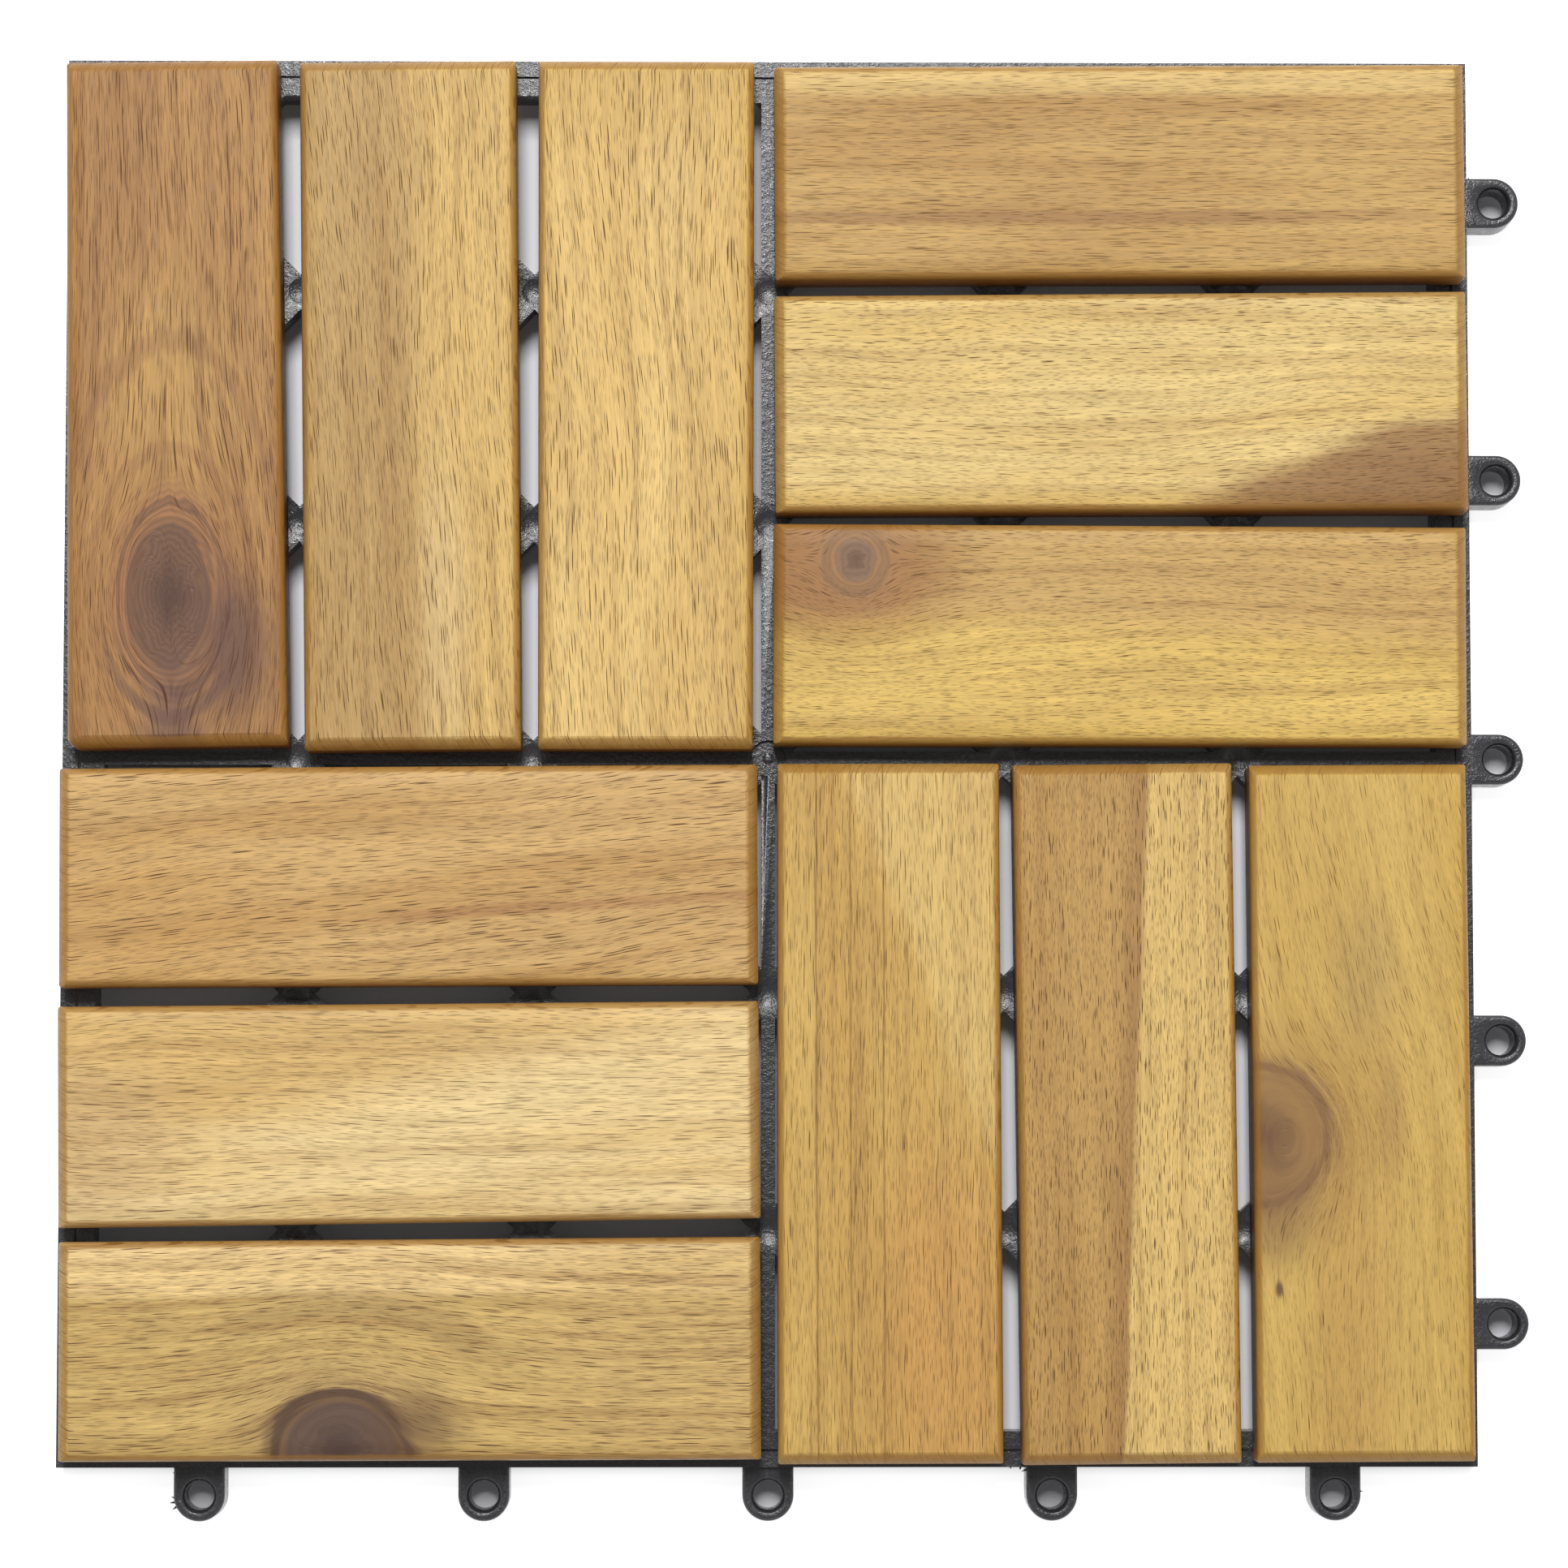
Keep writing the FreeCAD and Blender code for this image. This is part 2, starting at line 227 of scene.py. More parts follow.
# Finish of the moulding: black plastic with the fine rough grain of its mould, glossy specks that are also
# painted lighter as a painted glint, scuffs from handling and a little dust. Noise scales are per metre.


class Sum:
    """One output of a material's nodes: arithmetic written on it adds Math nodes."""

    def __init__(self, socket):
        self.socket = socket

    def node(self, kind, settings=(), sockets=(), output=0):
        """Adds a node: its kind, its settings, then the values or links of its sockets."""
        tree = self.socket.id_data
        node = tree.nodes.new("ShaderNode" + kind)
        for key, value in dict(settings).items():
            setattr(node, key, value)
        for key, value in dict(sockets).items():
            if isinstance(value, Sum):
                tree.links.new(value.socket, node.inputs[key])
            else:
                node.inputs[key].default_value = value
        return Sum(node.outputs[output])

    def maths(self, operation, *values):
        return self.node("Math", {"operation": operation}, enumerate(values))

    def __add__(self, other):
        return self.maths("ADD", self, other)

    __radd__ = __add__

    def __mul__(self, other):
        return self.maths("MULTIPLY", self, other)

    __rmul__ = __mul__

    def __sub__(self, other):
        return self.maths("SUBTRACT", self, other)

    def __rsub__(self, other):
        return self.maths("SUBTRACT", other, self)

    def __truediv__(self, other):
        return self.maths("DIVIDE", self, other)

    def __rtruediv__(self, other):
        return self.maths("DIVIDE", other, self)

    def squared(self):
        return self * self

    def root(self):
        return self.maths("SQRT", self)

    def positive(self):
        return self.maths("ABSOLUTE", self)

    def wave(self):
        return self.maths("SINE", self)

    def least(self, other):
        return self.maths("MINIMUM", self, other)

    def most(self, other):
        return self.maths("MAXIMUM", self, other)

    def rise(self, start, end):
        """0 before start, 1 after end and smooth between. Start may be the larger."""
        values = {0: self, 1: start, 2: end, 3: 0.0, 4: 1.0}
        return self.node("MapRange", {"interpolation_type": "SMOOTHSTEP"}, values)

    def parts(self):
        return [self.node("SeparateXYZ", (), {0: self}, n) for n in range(3)]

    def joined(self, x, y, z):
        return self.node("CombineXYZ", (), {0: x, 1: y, 2: z})

    def noise(self, scale, detail=2.0, rough=0.5):
        values = {"Vector": self, "Scale": scale, "Detail": detail, "Roughness": rough}
        return self.node("TexNoise", (), values)

    def ray(self, what):
        return self.node("LightPath", (), (), what)

    def between(self, first, second):
        """The first colour where this share is 0, the second where it is 1."""
        return self.node("Mix", {"data_type": "RGBA"}, {0: self, 6: first, 7: second}, 2)

    def tinted(self, colour, share):
        """This colour, changed to another by a share."""
        return share.between(self, colour)

    def brighter(self, factor):
        return self.node("VectorMath", {"operation": "SCALE"}, {0: self, 3: factor})


def tone(red, green, blue):
    """A colour as it is seen on a display, in the linear values that a shader takes."""
    seen = np.array([red, green, blue]) / 255
    linear = np.where(seen <= 0.04045, seen / 12.92, ((seen + 0.055) / 1.055) ** 2.4)
    return (*linear.tolist(), 1.0)


def finish(name):
    """A new material: itself, its shader node and the object's coordinates."""
    material = bpy.data.materials.new(name)
    material.use_nodes = True
    shader = material.node_tree.nodes["Principled BSDF"]
    coordinates = material.node_tree.nodes.new("ShaderNodeTexCoord")
    return material, shader, Sum(coordinates.outputs["Object"])


def feed(shader, name, value):
    """Links a worked-out value to one of the shader's sockets."""
    shader.id_data.links.new(value.socket, shader.inputs[name])


def relief(shader, height, strength, depth):
    """A bump of the surface: where height goes from 0 to 1 it stands for this depth in metres."""
    values = {"Strength": strength, "Distance": depth, "Height": height}
    feed(shader, "Normal", height.node("Bump", (), values))


plastic, shader, place = finish("black_polypropylene")
shader.inputs["Specular IOR Level"].default_value = 0.5
clouds = place.noise(90.0, 3.0)
grain = place.noise(2600.0, 3.0, 0.65)
creases = place.noise(850.0, 3.0, 0.75)
drawn_out = {"Vector": place, "Rotation": (0, 0, 0.6), "Scale": (900.0, 140.0, 400.0)}
scuffs = place.node("Mapping", (), drawn_out).noise(1.0, 3.0, 0.7).rise(0.6, 0.78)
dust = place.noise(420.0, 4.0, 0.7).rise(0.62, 0.8)
# high points of the creases are glossier and painted a lighter grey: painted glint
glint_specks = creases.rise(0.5, 0.62)
colour = clouds.between(tone(36, 36, 39), tone(54, 54, 58))
colour = colour.tinted(tone(98, 98, 104), scuffs * 0.18 + dust * 0.08 + glint_specks * 0.16)
feed(shader, "Base Color", colour)
feed(shader, "Roughness", 0.22 + clouds * 0.12 + scuffs * 0.16 - glint_specks * 0.14)
relief(shader, grain * 0.35 + creases * 1.3 - scuffs * 0.3, 1.0, 0.0001)

base_mesh.materials.clear()
base_mesh.materials.append(plastic)
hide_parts("base_grid")
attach(base, "root")

# Slats: twelve boards of oiled acacia, planed, with a soft bevel along all four upper edges and their
# undersides eased. Each was sawn and screwed down by hand, so its place, turn and width differ a
# little, and each has its own grain, heartwood and knots.

slat_pitch, slat_width, slat_length, slat_thickness = 50.0, 46.4, 147.0, 12.0
side_round, end_round, under_round = 1.7, 2.5, 0.5
side_flatness, end_flatness = 0.35, 0.6
round_steps, columns, rows = 6, 16, 44
wall_middle = 6.0


def bevel(share, flatness):
    """Drop and inset of an edge of size 1, from the top at share 0 to the wall at share 1: a mix of a
    quarter round and a flat bevel."""
    angle = share * math.pi / 2
    drop = (1 - flatness) * (1 - np.cos(angle)) + flatness * share
    return drop, (1 - flatness) * (1 - np.sin(angle)) + flatness * (1 - share)


def slat_surface(back_width, front_width, length, corner_rounds):
    """The upper skin is a grid whose points drop by the larger of two bevels, one by the distance to the
    nearer side and one to the nearer end, with a grid line wherever both have dropped alike, so that they
    meet in a mitre. The walls, the eased underside edge and the bottom close it. The third result says how
    far down the bevels each point lies, from 0 on the flat to 1 on the walls."""
    drop, end_inset = (end_round * part for part in bevel(np.linspace(1, 0, round_steps + 1), end_flatness))
    side_drops, side_insets = (side_round * part for part in bevel(np.linspace(0, 1, 200), side_flatness))
    side_inset = np.interp(drop, side_drops, side_insets)
    flat_x = np.linspace(-1, 1, columns)[1:-1]
    flat_y = np.linspace(-1, 1, rows)[1:-1]
    share_x = np.concatenate([-np.ones(round_steps + 1), flat_x, np.ones(round_steps + 1)])
    share_y = np.concatenate([-np.ones(round_steps + 1), flat_y, np.ones(round_steps + 1)])
    over_x = np.concatenate([side_inset - side_round, 0 * flat_x, (side_round - side_inset)[::-1]])
    over_y = np.concatenate([end_inset - end_round, 0 * flat_y, (end_round - end_inset)[::-1]])
    drop_x = np.concatenate([drop, 0 * flat_x, drop[::-1]])
    drop_y = np.concatenate([drop, 0 * flat_y, drop[::-1]])
    y = share_y * (length / 2 - end_round) + over_y
    width = front_width + (back_width - front_width) * (y / length + 0.5)
    x = share_x[None, :] * (width[:, None] / 2 - side_round) + over_x[None, :]
    fall = np.maximum(drop_x[None, :], drop_y[:, None])
    edge = np.maximum(np.minimum(drop_x / side_round, 1)[None, :], (drop_y / end_round)[:, None])
    top = np.stack([x, y[:, None] + 0 * x, slat_thickness - fall], -1)
    down, across = fall.shape
    faces = quads(down, across).tolist()
    index = np.arange(down * across).reshape(down, across)
    rim = np.concatenate([index[0, :-1], index[:-1, -1], index[-1, :0:-1], index[:0:-1, 0]])
    points = top.reshape(-1, 3)
    wall = points[rim]
    column, row = rim % across, rim // across
    out_x = (column == across - 1).astype(float) - (column == 0)
    out_y = (row == down - 1).astype(float) - (row == 0)
    eased = 0.3 * under_round
    levels = [(0.0, wall_middle), (0.0, under_round), (eased, eased), (under_round, 0.0)]
    layers, start, previous = [points], points.shape[0], rim
    for inset, height in levels:
        moved_x, moved_y = wall[:, 0] - inset * out_x, wall[:, 1] - inset * out_y
        ring = np.stack([moved_x, moved_y, np.full(rim.size, height)], -1)
        current = np.arange(start, start + rim.size)
        strip = np.stack([previous, current, np.roll(current, -1), np.roll(previous, -1)], -1)
        faces += strip.tolist()
        layers.append(ring)
        start, previous = start + rim.size, current
    faces.append(previous.tolist())
    points = np.concatenate(layers)
    edge = np.concatenate([edge.ravel(), np.ones(points.shape[0] - edge.size)])
    for (sign_x, sign_y), radius in corner_rounds.items():
        half = (front_width if sign_y < 0 else back_width) / 2
        near_x = np.clip((sign_x * points[:, 0] - half + radius) / radius, 0, 1)
        near_y = np.clip((sign_y * points[:, 1] - length / 2 + radius) / radius, 0, 1)
        points[:, 0] -= sign_x * radius * near_x * (1 - np.sqrt(1 - near_y**2 / 2))
        points[:, 1] -= sign_y * radius * near_y * (1 - np.sqrt(1 - near_x**2 / 2))
    return points, faces, edge


# How a board looks unless its own look says otherwise. The grain wanders by its sway in mm and slants by
# its slope, and pore_step is the number of pores to a mm of length. A field lies beyond its edges (start,
# slant, softness, side), in its patches (centre, reach, softness) and along its arcs (centre, reach,
# thickness), and its borders fray by some mm.
plain_look = {
    "sway": 9.0, "slope": 0.0, "contrast": 1.0, "pore_step": 0.068, "pores": 1.1, "fine": 0.6, "lines": 0.3,
    "warm": tone(188, 138, 78), "pore_tone": tone(88, 56, 28), "fields": (), "overlays": (), "corners": {},
}
plain_field = {"edges": (), "patches": (), "arcs": (), "fray": 4.0, "share": 1.0}
plain_knot = {"turns": 52.0, "halo_share": 0.45, "depth": 1.0, "rings": 0.3, "outline": 0.4}
# the darker tone painted on every bevel: painted shade
bevel_shade_tone = tone(158, 110, 42)


def acacia(name, centre, turn, look):
    """Oiled acacia: grain that runs along the board and parts round a knot, thin dark pores and long fibres
    that follow it, and broad fields of sapwood and heartwood. Lengths are millimetres along and across."""
    material, shader, place = finish(name)
    spot = {"Vector": place, "Location": centre, "Rotation": (0, 0, turn), "Scale": (MM, MM, MM)}
    along, across, down = place.node("Mapping", {"vector_type": "TEXTURE"}, spot).parts()
    shift = look["seed"] * 31.7

    # the lines of the grain, which a knot pushes aside
    broad = place.joined(along * 0.013 + shift, across * 0.035, shift).noise(1.0, 1.0)
    flow = across + (broad - 0.5) * look["sway"] + along * look["slope"]
    run, ring = along, None
    if "knot" in look:
        knot_along, knot_across, reach_along, reach_across = look["knot"]
        from_x, from_y = (along - knot_along) / reach_along, (across - knot_across) / reach_across
        far = from_x.squared() + from_y.squared()
        push = 1.15 / (far + 0.35)
        flow = flow - from_y * push * reach_across
        run = run + from_x * push * reach_along
        ring = far.root()

    def stretched(lengthways, sideways, detail=1.0, rough=0.6):
        """Noise drawn out along the grain."""
        point = place.joined(run * lengthways + shift, flow * sideways, down * sideways + shift)
        return point.noise(1.0, detail, rough)

    def dashes(lengthways, sideways, widest):
        """Thin dark dashes in the grain, each round the nearest of scattered points."""
        point = place.joined(run * lengthways + shift, (flow + down * 0.6) * sideways, 0.0)
        values = {"Vector": point, "Scale": 1.0}
        away = point.node("TexVoronoi", {"voronoi_dimensions": "2D"}, values, "Distance")
        return away.rise(widest, widest * 0.45)

    fray = place.joined(along * 0.05 + shift, flow * 0.55, shift).noise(1.0, 2.0) - 0.5

    def around(centre_x, centre_y, reach_x, reach_y):
        """Distance from a point, 1 on an ellipse."""
        from_x, from_y = (along - centre_x) / reach_x, (across - centre_y) / reach_y
        return (from_x.squared() + from_y.squared()).root()

    def painted(colour, fields):
        """Fields of another tone, each the product of its edges, patches and arcs."""
        for field in fields:
            field = {**plain_field, **field}
            steps = []
            for start, slope, soft, side in field["edges"]:
                line = (across - start - along * slope + fray * field["fray"]) * side
                steps.append(line.rise(-soft, soft))
            for *ellipse, soft in field["patches"]:
                steps.append((around(*ellipse) + fray * 0.35).rise(1.0 + soft, 1.0 - soft))
            for *ellipse, thick in field["arcs"]:
                gap = around(*ellipse) + fray * 0.12 - 1.0
                steps.append(gap.squared().rise(thick * thick, 0.0))
            mask = steps[0]
            for step in steps[1:]:
                mask = mask * step
            colour = colour.tinted(field["tone"], mask * field["share"])
        return colour

    # the wood itself: two tones in broad waves, its fields, then streaks, bands and fibres of the grain
    colour = stretched(0.01, 0.09).rise(0.3, 0.7).between(*look["tones"])
    colour = painted(colour, look["fields"])
    streak = stretched(0.012, 0.4, 2.0)
    band = stretched(0.03, 1.3, 1.0)
    fibre = stretched(0.13, 3.0, 3.0, 0.75)
    contrast = look["contrast"]
    light = 1.0 + ((streak - 0.5) * 0.34 + (band - 0.5) * 0.24 + (fibre - 0.5) * 0.95) * contrast
    colour = colour.brighter(light).tinted(look["warm"], streak.rise(0.56, 0.3) * 0.22 * contrast)

    # dark marks: long lines, and pores that crowd in some streaks
    long_lines = (band - 0.52).squared().rise(0.0007, 0.0) * streak.rise(0.52, 0.36)
    chance = stretched(0.03, 0.45)
    big = dashes(look["pore_step"], 1.9, 0.21) * chance.rise(0.36, 0.6)
    small = dashes(look["pore_step"] * 2.3, 2.9, 0.24) * chance.rise(0.8, 0.4)
    marks = big * look["pores"] + small * look["fine"] + long_lines * look["lines"]

    # a knot: its halo, wood, core and heart, each lying further in, then its rings and the line round it
    if ring is not None:
        knot = {**plain_knot, **look["knot_look"]}
        depth, core = knot["depth"], knot["core_reach"]
        uneven = ring + fray * 0.25 + (streak - 0.5) * 0.4
        turns = (uneven * knot["turns"]).wave() * 0.5 + 0.5
        marks = marks * ring.rise(0.7, 1.2)
        colour = colour.tinted(knot["halo"], uneven.rise(2.3, 0.9) * knot["halo_share"])
        colour = colour.tinted(knot["wood"], uneven.rise(1.32, 1.02) * 0.8 * depth)
        colour = colour.tinted(knot["core"], uneven.rise(core + 0.1, core - 0.08) * 0.82 * depth)
        colour = colour.tinted(knot["heart"], uneven.rise(core * 0.75, 0.05) * 0.7 * depth)
        colour = colour.tinted(knot["heart"], turns * uneven.rise(1.5, 0.85) * knot["rings"])
        colour = colour.tinted(knot["heart"], (uneven - 1.02).squared().rise(0.008, 0.0) * knot["outline"])
    colour = painted(colour, look["overlays"])
    colour = colour.tinted(look["pore_tone"], marks.least(0.92))

    # a darker, warmer tone is painted on the bevels: painted shade of the sloping edges
    edge = place.node("Attribute", {"attribute_name": "edge"}, (), 2)
    # painted shade along the bevels, from the edge attribute; it also makes them a little glossier
    bevel_shade = (edge + fray * 0.12).rise(0.02, 0.18)
    feed(shader, "Base Color", colour.tinted(bevel_shade_tone, bevel_shade * 0.66))
    shader.inputs["Specular IOR Level"].default_value = 0.3
    feed(shader, "Roughness", 0.5 + (fibre - 0.5) * 0.3 + marks * 0.2 - bevel_shade * 0.1)
    relief(shader, fibre * 0.6 - big * 0.8, 0.45, 0.00012)
    return material


# offsets: shift in x and y, turn in degrees, how much wider the back and front ends are, how much longer
slats = {
    "back_left_1": {
        "offsets": (-0.7, -0.3, 0.95, -1.7, 0.0, -0.8), "corners": {(-1, -1): 2.4}, "seed": 1,
        "tones": (tone(171, 125, 73), tone(185, 139, 80)), "pore_tone": tone(84, 50, 32), "fine": 0.7,
        "lines": 0.6, "sway": 6.0, "contrast": 1.4, "pore_step": 0.045, "warm": tone(166, 112, 66),
        "knot": (41.5, -1.0, 19.0, 11.5), "knot_look": {
            "halo": tone(160, 110, 62), "wood": tone(172, 120, 76), "core": tone(106, 74, 56),
            "heart": tone(72, 48, 40), "core_reach": 0.78, "turns": 78.0, "rings": 0.4,
        },
        "fields": [
            {"patches": [(-2.0, 1.0, 22.0, 13.0, 0.6)], "tone": tone(196, 154, 88), "share": 0.6},
            {"arcs": [(41.0, -1.0, 54.0, 24.0, 0.07)], "tone": tone(138, 94, 58), "share": 0.4},
            {"arcs": [(41.0, -1.0, 31.0, 17.0, 0.07)], "tone": tone(138, 94, 58), "share": 0.35},
        ],
        "overlays": [
            {"patches": [(52.0, 12.0, 14.0, 7.0, 0.7)], "tone": tone(100, 70, 62), "share": 0.8},
            {"patches": [(70.0, -1.0, 13.0, 6.0, 0.8)], "tone": tone(104, 76, 70), "share": 0.7},
            {"arcs": [(42.0, -1.0, 25.0, 15.0, 0.09)], "patches": [(68.0, 0.0, 18.0, 26.0, 0.5)],
             "tone": tone(104, 72, 62), "share": 0.6},
            {"arcs": [(42.0, -1.0, 21.0, 12.5, 0.05)], "patches": [(68.0, -6.0, 18.0, 20.0, 0.5)],
             "tone": tone(112, 78, 64), "share": 0.5},
        ],
    },
    "back_left_2": {
        "offsets": (-0.9, -0.55, 0.7, -0.5, -0.8, -0.2), "seed": 2,
        "tones": (tone(184, 146, 88), tone(196, 160, 100)), "slope": -0.07, "contrast": 1.15,
        "fields": [
            {"edges": [(2.0, 0.03, 6.0, 1)], "tone": tone(222, 184, 110), "share": 0.92},
            {"patches": [(45.0, 7.0, 30.0, 5.0, 0.7)], "tone": tone(220, 190, 134), "share": 0.6},
        ],
    },
    "back_left_3": {
        "offsets": (-1.0, -0.35, 0.0, -0.5, -1.1, -0.2), "seed": 3,
        "tones": (tone(224, 185, 111), tone(233, 197, 124)), "slope": -0.05, "lines": 0.5,
        "pore_step": 0.065,
        "fields": [
            {"edges": [(17.0, 0.0, 8.0, 1)], "tone": tone(206, 164, 84), "share": 0.6},
            {"patches": [(-73.0, 0.0, 16.0, 40.0, 0.9)], "tone": tone(208, 168, 88), "share": 0.55},
        ],
    },
    "back_right_1": {
        "offsets": (-0.25, -0.68, 0.35, -0.7, -0.65, -0.1), "seed": 4,
        "tones": (tone(190, 148, 84), tone(206, 167, 100)), "sway": 2.5, "pores": 0.7,
        "fields": [
            {"edges": [(16.3, 0.0, 1.2, 1)], "tone": tone(222, 187, 118), "fray": 1.5},
            {"edges": [(-11.3, 0.0, 0.9, 1), (-8.6, 0.0, 0.9, -1)], "fray": 2.0,
             "patches": [(-20.0, -10.0, 80.0, 20.0, 0.5)], "tone": tone(150, 106, 64), "share": 0.6},
        ],
    },
    "back_right_2": {
        "offsets": (-0.15, -0.05, 0.4, -0.15, 0.35, 0.0), "seed": 5,
        "tones": (tone(224, 189, 114), tone(232, 202, 132)), "pores": 0.75, "sway": 11.0, "pore_step": 0.11,
        "fields": [
            {"edges": [(-20.0, 0.0, 3.0, -1)], "tone": tone(206, 162, 84), "share": 0.5},
            {"edges": [(-29.5, 0.45, 4.5, -1), (-8.5, 0.07, 4.0, -1)], "fray": 7.0,
             "tone": tone(154, 112, 66), "share": 0.9},
            {"patches": [(64.0, -19.0, 26.0, 7.0, 0.7)], "tone": tone(132, 92, 54), "share": 0.5},
        ],
    },
    "back_right_3": {
        "offsets": (-0.58, 0.45, -0.15, 0.25, -0.2, -0.3), "seed": 6,
        "tones": (tone(220, 183, 98), tone(228, 192, 106)), "pores": 0.7, "pore_step": 0.11,
        "knot": (-56.0, 15.5, 6.6, 6.8), "knot_look": {
            "halo": tone(176, 130, 86), "wood": tone(164, 122, 80), "core": tone(134, 106, 84),
            "heart": tone(96, 72, 48), "core_reach": 0.62, "turns": 30.0, "outline": 0.25,
        },
        "fields": [
            {"edges": [(1.5, -0.05, 5.0, 1)], "tone": tone(202, 163, 100), "share": 0.85},
            {"patches": [(-62.0, 14.0, 26.0, 14.0, 0.5)], "tone": tone(155, 104, 57), "share": 0.85},
        ],
    },
    "front_left_1": {
        "offsets": (-0.8, -0.7, 0.35, -0.35, -0.1, 0.0), "seed": 7,
        "tones": (tone(200, 157, 94), tone(212, 172, 110)), "slope": -0.1, "contrast": 1.1,
        "pore_step": 0.07,
        "fields": [
            {"edges": [(-9.6, 0.055, 0.9, 1), (-7.2, 0.055, 0.9, -1)], "fray": 2.0,
             "patches": [(40.0, -6.0, 52.0, 12.0, 0.3)], "tone": tone(164, 112, 68), "share": 0.55},
            {"patches": [(-55.0, -10.0, 26.0, 12.0, 0.6)], "tone": tone(196, 148, 82), "share": 0.5},
        ],
    },
    "front_left_2": {
        "offsets": (-0.5, -0.6, 0.65, -0.05, -0.85, 0.2), "seed": 8,
        "tones": (tone(234, 201, 136), tone(241, 213, 154)), "pores": 0.75,
        "fields": [
            {"edges": [(6.0, 0.22, 8.0, 1)], "tone": tone(216, 175, 104), "share": 0.75},
            {"patches": [(-66.0, -6.0, 16.0, 16.0, 0.6)], "tone": tone(212, 178, 126), "share": 0.6},
        ],
    },
    "front_left_3": {
        "offsets": (-0.1, -0.02, 0.3, -0.7, -0.05, -0.1), "seed": 9,
        "tones": (tone(198, 165, 98), tone(212, 179, 110)), "sway": 5.0, "contrast": 1.4, "lines": 0.45,
        "knot": (-14.5, -21.0, 13.6, 12.0), "knot_look": {
            "halo": tone(172, 138, 90), "wood": tone(100, 70, 52), "core": tone(98, 76, 66),
            "heart": tone(66, 46, 40), "core_reach": 0.86, "turns": 34.0, "rings": 0.2, "outline": 0.6,
        },
        "fields": [
            {"edges": [(11.5, 0.0, 1.6, 1)], "tone": tone(236, 202, 138), "fray": 3.0},
            {"patches": [(60.0, 4.0, 32.0, 40.0, 0.4)], "tone": tone(208, 174, 110), "share": 0.6},
            {"arcs": [(-14.0, -20.0, 38.0, 30.0, 0.16)], "patches": [(-4.0, 6.0, 36.0, 9.0, 0.5)],
             "tone": tone(150, 118, 72), "share": 0.4},
        ],
        "overlays": [{"patches": [(2.0, -15.5, 8.0, 6.0, 0.9)], "tone": tone(104, 76, 50), "share": 0.7}],
    },
    "front_right_1": {
        "offsets": (0.4, -0.35, 0.15, 0.4, 0.8, -0.1), "seed": 10,
        "tones": (tone(202, 160, 84), tone(212, 174, 96)), "sway": 3.0, "pores": 0.75,
        "fields": [
            {"edges": [(18.0, 0.38, 3.0, 1)], "tone": tone(224, 189, 116), "share": 0.85},
            {"patches": [(45.0, 12.0, 36.0, 14.0, 0.6)], "tone": tone(204, 152, 84), "share": 0.7},
            *[
                {"edges": [(start, 0.0, 0.25, 1), (end, 0.0, 0.25, -1)], "fray": 0.7,
                 "tone": tone(138, 98, 44), "share": share}
                for start, end, share in ((-1.35, -1.0, 0.8), (-8.3, -7.95, 0.7), (-15.5, -15.1, 0.8))
            ],
        ],
    },
    "front_right_2": {
        "offsets": (0.4, -0.4, 0.6, -0.2, -0.6, -0.1), "seed": 11,
        "tones": (tone(182, 140, 76), tone(194, 153, 88)), "pores": 0.95, "sway": 4.0, "contrast": 1.1,
        "pore_step": 0.12,
        "fields": [
            {"edges": [(-1.8, -0.05, 2.0, 1)], "tone": tone(158, 116, 70), "share": 0.5, "fray": 2.0},
            {"edges": [(1.8, -0.05, 0.8, 1)], "tone": tone(224, 188, 114), "fray": 2.0},
        ],
    },
    "front_right_3": {
        "offsets": (-0.2, -0.27, 0.35, -0.6, -0.6, -0.6), "seed": 12,
        "tones": (tone(207, 169, 88), tone(215, 179, 98)), "slope": -0.12, "pores": 0.55, "fine": 0.35,
        "contrast": 0.7, "pore_step": 0.1,
        "knot": (5.0, -21.5, 14.5, 14.0), "knot_look": {
            "halo": tone(166, 124, 68), "wood": tone(144, 106, 66), "core": tone(124, 92, 58),
            "heart": tone(104, 68, 50), "core_reach": 0.5, "turns": 24.0, "rings": 0.12, "halo_share": 0.55,
            "outline": 0.4, "depth": 0.85,
        },
        "fields": [
            {"patches": [(-28.0, 1.0, 14.0, 6.0, 0.8)], "tone": tone(168, 138, 90), "share": 0.45},
            {"patches": [(0.0, 6.0, 12.0, 3.0, 0.8)], "tone": tone(168, 132, 84), "share": 0.5},
            {"patches": [(45.0, -2.0, 40.0, 8.0, 0.7)], "tone": tone(190, 146, 80), "share": 0.5},
        ],
        "overlays": [
            {"patches": [(21.0, -18.0, 10.0, 7.0, 0.8)], "tone": tone(130, 96, 62), "share": 0.6},
            {"patches": [(37.0, -18.0, 1.6, 0.8, 0.6)], "tone": tone(84, 54, 40), "share": 0.85},
        ],
    },
}

